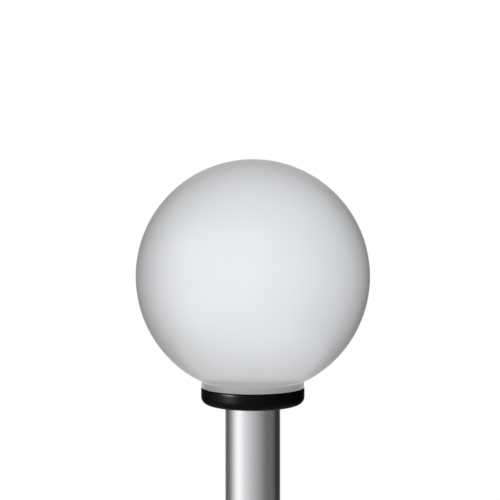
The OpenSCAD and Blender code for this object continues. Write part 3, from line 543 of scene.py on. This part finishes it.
# Earth tag: a ring tag of tinned copper under the earth screw, its barrel crimped on the earth lead.
# The tin is soft and pale, with a grain of small crystals and a warm cast where the copper shows through.

TIN_CRYSTAL = 0.9 * MM

tinned, tree, shader, where = surface("tinned_copper", {"Metallic": 1.0})
# Each crystal has its own tone. They are drawn coarser than real ones, which are too small to show
crystal = add(tree, "ShaderNodeTexVoronoi", {"Vector": where, "Scale": 1 / TIN_CRYSTAL, "Randomness": 1.0})
facet = add(tree, "ShaderNodeSeparateColor", {0: crystal.outputs["Color"]})
tin = add(tree, "ShaderNodeMix", {
    0: facet.outputs[0], 6: linear("#b7b3ae"), 7: linear("#d3d1cd"),
}, data_type="RGBA")
soft = add(tree, "ShaderNodeMapRange", {"Value": facet.outputs[1], "To Min": 0.28, "To Max": 0.42})
grained = add(tree, "ShaderNodeBump", {
    "Height": crystal.outputs["Distance"], "Distance": 0.01 * MM, "Strength": 0.4,
})
tree.links.new(tin.outputs[2], shader.inputs["Base Color"])
tree.links.new(soft.outputs[0], shader.inputs["Roughness"])
tree.links.new(grained.outputs["Normal"], shader.inputs["Normal"])
dress(tinned, "earth_tag")

# Leads: three single cores in silicone rubber, 2.4 mm across, from the terminal
# block to the holder's two terminals and the earth tag. The insulation is satin
# and slightly dimpled, and the earth core is green with yellow stripes.

LEAD_R = 1.2 * MM
LEAD_SIDES = 28
STEPS_PER_BEND = 10
TALC_PATCH = 3 * MM
DIMPLE = 0.5 * MM
POLES_X = np.array([-4.25, 4.25, 12.75]) * MM
LEAD_Y = 21 * MM
BLOCK_Y = 16 * MM
POLE_Z = sum(corner.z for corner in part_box("terminal_sleeves")) / 2
TERMINAL_Y = 9.35 * MM
HOLDER_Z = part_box("holder_body")[0].z
TAG_Z = sum(corner.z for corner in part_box("earth_tag")) / 2
TAG_AT = np.array([DIAGONAL, DIAGONAL, 0])
TAG_CENTRE = np.array([0, -22 * MM, TAG_Z])
# Points along each lead, from inside its pole of the
# block to inside its terminal, or inside the tag's barrel
ROUTES = {
    "live_lead": [
        (POLES_X[0], LEAD_Y, POLE_Z), (POLES_X[0], BLOCK_Y, POLE_Z),
        (POLES_X[0], BLOCK_Y - 1.5 * MM, POLE_Z + 0.5 * MM),
        (POLES_X[0], TERMINAL_Y + 1.5 * MM, POLE_Z + 4 * MM),
        (POLES_X[0] / 2, TERMINAL_Y + 0.3 * MM, (POLE_Z + HOLDER_Z) / 2),
        (0, TERMINAL_Y, HOLDER_Z - 4 * MM), (0, TERMINAL_Y, HOLDER_Z + 1 * MM),
        (0, TERMINAL_Y, HOLDER_Z + 6 * MM),
    ],
    "neutral_lead": [
        (POLES_X[1], LEAD_Y, POLE_Z), (POLES_X[1], BLOCK_Y, POLE_Z), (POLES_X[1], BLOCK_Y - 3 * MM, POLE_Z),
        (POLES_X[1], 5 * MM, POLE_Z + 1.5 * MM), (POLES_X[1], -3 * MM, POLE_Z + 4 * MM),
        (POLES_X[1] / 2, -TERMINAL_Y + 0.5 * MM, (POLE_Z + HOLDER_Z) / 2),
        (0, -TERMINAL_Y, HOLDER_Z - 4 * MM), (0, -TERMINAL_Y, HOLDER_Z + 1 * MM),
        (0, -TERMINAL_Y, HOLDER_Z + 6 * MM),
    ],
    "earth_lead": [
        (POLES_X[2], LEAD_Y, POLE_Z), (POLES_X[2], BLOCK_Y, POLE_Z), (POLES_X[2], BLOCK_Y - 3 * MM, POLE_Z),
        (POLES_X[2] + 0.2 * MM, 5 * MM, POLE_Z - 0.7 * MM),
        (POLES_X[2] + 0.4 * MM, -3 * MM, POLE_Z - 2 * MM),
        (POLES_X[2], -8.5 * MM, TAG_Z + 0.7 * MM), tuple(TAG_CENTRE + 14.5 * MM * TAG_AT),
        tuple(TAG_CENTRE + 12 * MM * TAG_AT), tuple(TAG_CENTRE + 7.5 * MM * TAG_AT),
    ],
}


def smooth_route(points, steps):
    """Catmull-Rom curve: between b and c, with neighbours a and d, the point at t is half of
    2b + (c - a) t + (2a - 5b + 4c - d) t squared + (3b - a - 3c + d) t cubed."""
    p = np.array(points, float)
    a, b, c, d = (p[np.clip(np.arange(len(p) - 1) + k, 0, len(p) - 1)][:, None] for k in (-1, 0, 1, 2))
    t = (np.arange(steps) / steps)[None, :, None]
    curve = (
        2 * b + (c - a) * t + (2 * a - 5 * b + 4 * c - d) * t ** 2 + (3 * b - a - 3 * c + d) * t ** 3
    ) / 2
    return np.concatenate([curve.reshape(-1, 3), p[-1:]])


def put(name, data):
    """Puts a new object with this data into the scene."""
    thing = bpy.data.objects.new(name, data)
    bpy.context.scene.collection.objects.link(thing)
    return thing


def tube(name, path, radius, sides):
    """Closed tube: the point at step i and angle w is path(i) + radius (u cos w + v sin w), where u is at
    right angles to the path's heading and to the x axis, and v to the heading and u. Both ends are rounded
    in over half a radius. Its UV map runs once round in U, and in V by the length along the path in
    millimetres."""
    heading = np.gradient(path, axis=0)
    heading /= np.linalg.norm(heading, axis=1, keepdims=True)
    length = np.concatenate([[0], np.cumsum(np.linalg.norm(np.diff(path, axis=0), axis=1))])
    u = np.cross(heading, [1.0, 0, 0])
    u /= np.linalg.norm(u, axis=1, keepdims=True)
    v = np.cross(heading, u)
    edge = np.clip(np.minimum(length, length[-1] - length) / (0.5 * radius), 0, 1)
    reach = radius * (0.7 + 0.3 * np.sqrt(1 - (1 - edge) ** 2))
    w = np.arange(sides) * math.tau / sides
    grid = path[:, None] + reach[:, None, None] * (
        u[:, None] * np.cos(w)[None, :, None] + v[:, None] * np.sin(w)[None, :, None]
    )
    n = len(path)
    i, k = np.meshgrid(np.arange(n - 1), np.arange(sides), indexing="ij")
    k1 = (k + 1) % sides
    quads = np.stack([
        i * sides + k, i * sides + k1, (i + 1) * sides + k1, (i + 1) * sides + k,
    ], -1).reshape(-1, 4)
    uv = np.stack([
        np.stack([k, k + 1, k + 1, k], -1) / sides,
        np.stack([length[i], length[i], length[i + 1], length[i + 1]], -1) / MM,
    ], -1).reshape(-1, 2)
    caps = [list(range(sides))[::-1], list(range((n - 1) * sides, n * sides))]
    mesh = bpy.data.meshes.new(name)
    mesh.from_pydata(grid.reshape(-1, 3), [], quads.tolist() + caps)
    layer = mesh.uv_layers.new(name="around")
    full = np.zeros((len(mesh.loops), 2))
    full[:len(uv)] = uv
    layer.data.foreach_set("uv", full.ravel())
    mesh.shade_smooth()
    return put(name, mesh)


for core, dark, light, stripe in (
    ("live_lead", "#4a2a19", "#5d3722", None),
    ("neutral_lead", "#1f4f8f", "#2b62a8", None),
    ("earth_lead", "#1d6b34", "#2a7f42", "#d9c22e"),
):
    insulation, tree, shader, where = surface(core.replace("_lead", "_silicone_insulation"), {"IOR": 1.42})
    # Talc in patches, and the dimples of the extrusion
    talc = add(tree, "ShaderNodeTexNoise", {"Vector": where, "Scale": 1 / TALC_PATCH, "Detail": 2.0})
    dimples = add(tree, "ShaderNodeTexNoise", {"Vector": where, "Scale": 1 / DIMPLE, "Detail": 1.0})
    colour = add(tree, "ShaderNodeMix", {
        0: talc.outputs["Fac"], 6: linear(dark), 7: linear(light),
    }, data_type="RGBA").outputs[2]
    if stripe:
        # Two stripes along the core, each a little under a sixth of the way round
        around = add(tree, "ShaderNodeSeparateXYZ", {
            0: add(tree, "ShaderNodeUVMap", uv_map="around").outputs[0],
        })
        twice = add(tree, "ShaderNodeMath", {0: around.outputs["X"], 1: 0.5}, operation="MODULO")
        off = add(tree, "ShaderNodeMath", {0: twice.outputs[0], 1: 0.25}, operation="SUBTRACT")
        away = add(tree, "ShaderNodeMath", {0: off.outputs[0]}, operation="ABSOLUTE")
        in_stripe = add(tree, "ShaderNodeMapRange", {
            "Value": away.outputs[0], "From Min": 0.07, "From Max": 0.08, "To Min": 1.0, "To Max": 0.0,
        })
        colour = add(tree, "ShaderNodeMix", {
            0: in_stripe.outputs[0], 6: colour, 7: linear(stripe),
        }, data_type="RGBA").outputs[2]
    satin = add(tree, "ShaderNodeMapRange", {"Value": talc.outputs["Fac"], "To Min": 0.36, "To Max": 0.52})
    dimpled = add(tree, "ShaderNodeBump", {
        "Height": dimples.outputs["Fac"], "Distance": 0.02 * MM, "Strength": 0.4,
    })
    tree.links.new(colour, shader.inputs["Base Color"])
    tree.links.new(satin.outputs[0], shader.inputs["Roughness"])
    tree.links.new(dimpled.outputs["Normal"], shader.inputs["Normal"])
    piece = tube(core + "_core", smooth_route(ROUTES[core], STEPS_PER_BEND), LEAD_R, LEAD_SIDES)
    dress(insulation, piece.name)
    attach(piece, "root")
    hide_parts(core)

# Floor and world: a round of pale paper that fades to white at its edge, in a white room that gives only a
# faint light. Both look pale to the camera and in metal and glass, and the part keeps its shadow.

FLOOR_R = 1.5
FLOOR_SIDES = 128
FLOOR_Z = -0.2 * MM
FADE_FROM_R = 0.55
FADE_TO_R = FLOOR_R - 0.05
PAPER_GLOW = 0.42
ROOM_LIGHT = 0.07

floor_mesh = bpy.data.meshes.new("floor")
around = np.arange(FLOOR_SIDES) * math.tau / FLOOR_SIDES
floor_mesh.from_pydata(
    np.stack([FLOOR_R * np.cos(around), FLOOR_R * np.sin(around), np.full(FLOOR_SIDES, FLOOR_Z)], -1), [],
    [list(range(FLOOR_SIDES))],
)
floor = put("floor", floor_mesh)


def in_sight(tree):
    """Adds the nodes that give 1 on rays of the camera and of what metal and glass show, and 0 on those that
    light the part, and returns the last of them."""
    ray = add(tree, "ShaderNodeLightPath")
    seen = add(tree, "ShaderNodeMath", {
        0: ray.outputs["Is Camera Ray"], 1: ray.outputs["Is Glossy Ray"],
    }, operation="ADD")
    return add(tree, "ShaderNodeMath", {
        0: seen.outputs[0], 1: ray.outputs["Is Transmission Ray"],
    }, operation="ADD")


pale = bpy.data.materials.new("pale_floor")
tree = blank(pale)
where = add(tree, "ShaderNodeTexCoord").outputs["Object"]
out = add(tree, "ShaderNodeVectorMath", {0: where}, operation="LENGTH")
fade = add(tree, "ShaderNodeMapRange", {
    "Value": out.outputs["Value"], "From Min": FADE_FROM_R, "From Max": FADE_TO_R,
}, interpolation_type="SMOOTHSTEP")
seen = in_sight(tree)
lift = add(tree, "ShaderNodeMath", {0: seen.outputs[0], 1: PAPER_GLOW}, operation="MULTIPLY")
paper = add(tree, "ShaderNodeBsdfDiffuse", {"Color": linear("#cfcfcf")})
glow = add(tree, "ShaderNodeEmission", {"Color": linear("#ffffff"), "Strength": lift.outputs[0]})
lit = add(tree, "ShaderNodeAddShader", {0: paper.outputs[0], 1: glow.outputs[0]})
white = add(tree, "ShaderNodeEmission", {"Color": linear("#ffffff"), "Strength": seen.outputs[0]})
both = add(tree, "ShaderNodeMixShader", {0: fade.outputs[0], 1: lit.outputs[0], 2: white.outputs[0]})
add(tree, "ShaderNodeOutputMaterial", {"Surface": both.outputs[0]})
dress(pale, "floor")

world = bpy.data.worlds.new("studio")
bpy.context.scene.world = world
tree = blank(world)
level = add(tree, "ShaderNodeMapRange", {
    "Value": in_sight(tree).outputs[0], "To Min": ROOM_LIGHT, "To Max": 1.0,
})
sky = add(tree, "ShaderNodeBackground", {"Color": linear("#ffffff"), "Strength": level.outputs[0]})
add(tree, "ShaderNodeOutputWorld", {"Surface": sky.outputs[0]})

# Tent: a sphere of cloth round the light that only reflections see, cut off
# below and open low down at the back. Its bright strip at the left, its
# greys in front and its dark right side draw the soft bands down the post.

TENT_R = 0.9
TENT_Z = 0.5
TENT_FOOT_DEGREES = -33
OPENING_FROM = math.radians(166)
OPENING_TOP = math.radians(14)
ROOF_FROM_Z = TENT_Z + 0.55 * TENT_R
ROOF_TO_Z = TENT_Z + 0.95 * TENT_R
ROOF_GREY = (0.2, 0.2, 0.2, 1.0)
# Azimuth in degrees, with 0 in front and the left side negative, and how bright the cloth is there
TENT_LEVELS = (
    (-180, 0.6), (-160, 0.5), (-146, 0.12), (-130, 0.11), (-108, 0.19), (-88, 0.66), (-76, 1.08),
    (-58, 1.42), (-44, 1.1), (-30, 0.85), (-10, 0.67), (12, 0.49), (32, 0.36), (48, 0.21),
    (60, 0.165), (92, 0.16), (104, 0.04), (146, 0.03), (160, 0.5), (180, 0.6),
)

# The point at azimuth a and elevation e is the tent's middle
# plus TENT_R times (sin a cos e, -cos a cos e, sin e)
azimuth = np.radians(np.linspace(-180, 180, 181))
elevation = np.radians(np.linspace(TENT_FOOT_DEGREES, 90, 62))
a, e = np.meshgrid(azimuth, elevation, indexing="ij")
grid = np.stack([
    TENT_R * np.sin(a) * np.cos(e), -TENT_R * np.cos(a) * np.cos(e), TENT_Z + TENT_R * np.sin(e),
], -1)
i, k = np.meshgrid(np.arange(len(azimuth) - 1), np.arange(len(elevation) - 1), indexing="ij")
rows = len(elevation)
quads = np.stack([
    i * rows + k, i * rows + k + 1, (i + 1) * rows + k + 1, (i + 1) * rows + k,
], -1).reshape(-1, 4)
opening = (np.abs(azimuth[i]) > OPENING_FROM) & (elevation[k] < OPENING_TOP)
quads = quads[~opening.ravel()]
tent_mesh = bpy.data.meshes.new("tent")
tent_mesh.from_pydata(grid.reshape(-1, 3), [], quads.tolist())
tent = put("tent", tent_mesh)
tent.visible_camera = False
tent.visible_diffuse = False
tent.visible_transmission = False
tent.visible_shadow = False

cloth = bpy.data.materials.new("tent_cloth")
tree = blank(cloth)
where = add(tree, "ShaderNodeTexCoord").outputs["Object"]
part = add(tree, "ShaderNodeSeparateXYZ", {0: where})
back = add(tree, "ShaderNodeMath", {0: part.outputs["Y"], 1: -1.0}, operation="MULTIPLY")
bearing = add(tree, "ShaderNodeMath", {0: part.outputs["X"], 1: back.outputs[0]}, operation="ARCTAN2")
share = add(tree, "ShaderNodeMapRange", {
    "Value": bearing.outputs[0], "From Min": -math.pi, "From Max": math.pi,
})
panels = add(tree, "ShaderNodeValToRGB", {0: share.outputs[0]})
panels.color_ramp.interpolation = "LINEAR"
while len(panels.color_ramp.elements) < len(TENT_LEVELS):
    panels.color_ramp.elements.new(0.5)
for stop, (degrees, strength) in zip(panels.color_ramp.elements, TENT_LEVELS):
    stop.position = (degrees + 180) / 360
    stop.color = (strength, strength, strength, 1.0)
overhead = add(tree, "ShaderNodeMapRange", {
    "Value": part.outputs["Z"], "From Min": ROOF_FROM_Z, "From Max": ROOF_TO_Z,
}, interpolation_type="SMOOTHSTEP")
roofed = add(tree, "ShaderNodeMix", {
    0: overhead.outputs[0], 6: panels.outputs[0], 7: ROOF_GREY,
}, data_type="RGBA")
shine = add(tree, "ShaderNodeEmission", {"Color": roofed.outputs[2], "Strength": 1.0})
add(tree, "ShaderNodeOutputMaterial", {"Surface": shine.outputs[0]})
dress(cloth, "tent")

# Lights: soft round lamps in front, above and behind, which reflections do not
# show, and a small one near the head. That one shines on the collar alone, and
# only its reflection counts: it is the highlight on the collar's edge.

HEAD_AT = np.array([0, 0, 0.6])

for name, place, size, watts, in_gloss in (
    ("front_light", (-0.05, -2.4, 0.84), 0.9, 39.5, False),
    ("top_light", (0.0, -1.9, 2.2), 0.9, 8.0, False),
    ("back_light", (0.0, 2.6, 0.75), 0.9, 36.0, False),
    ("edge_light", (-0.57, -0.46, 0.67), 0.24, 18.0, True),
):
    disk = put(name, bpy.data.lights.new(name, "AREA"))
    disk.data.shape = "DISK"
    disk.data.size = size
    disk.data.energy = watts
    disk.visible_glossy = in_gloss
    disk.visible_camera = False
    disk.location = place
    aim = HEAD_AT - np.array(place)
    disk.rotation_euler = (
        math.atan2(math.hypot(aim[0], aim[1]), -aim[2]), 0, math.atan2(aim[1], aim[0]) - math.pi / 2,
    )
edge_light = bpy.data.objects["edge_light"]
edge_light.visible_diffuse = False
lit_edge = bpy.data.collections.new("lit_edge")
lit_edge.objects.link(nodes["collar"])
edge_light.light_linking.receiver_collection = lit_edge

# Camera: a metre in front of the post and level with the upper half of the globe, as the photograph was
# taken. Its lens is given in millimetres, on a sensor 36 mm wide.

camera = put("camera", bpy.data.cameras.new("camera"))
camera.data.sensor_width = 36.0
camera.data.lens = 67.0
camera.data.clip_end = 50.0
camera.location = (-0.003, -1.0, 0.703)
camera.rotation_euler = (math.radians(90), 0, 0)
bpy.context.scene.camera = camera
bpy.context.scene.view_settings.view_transform = "Standard"
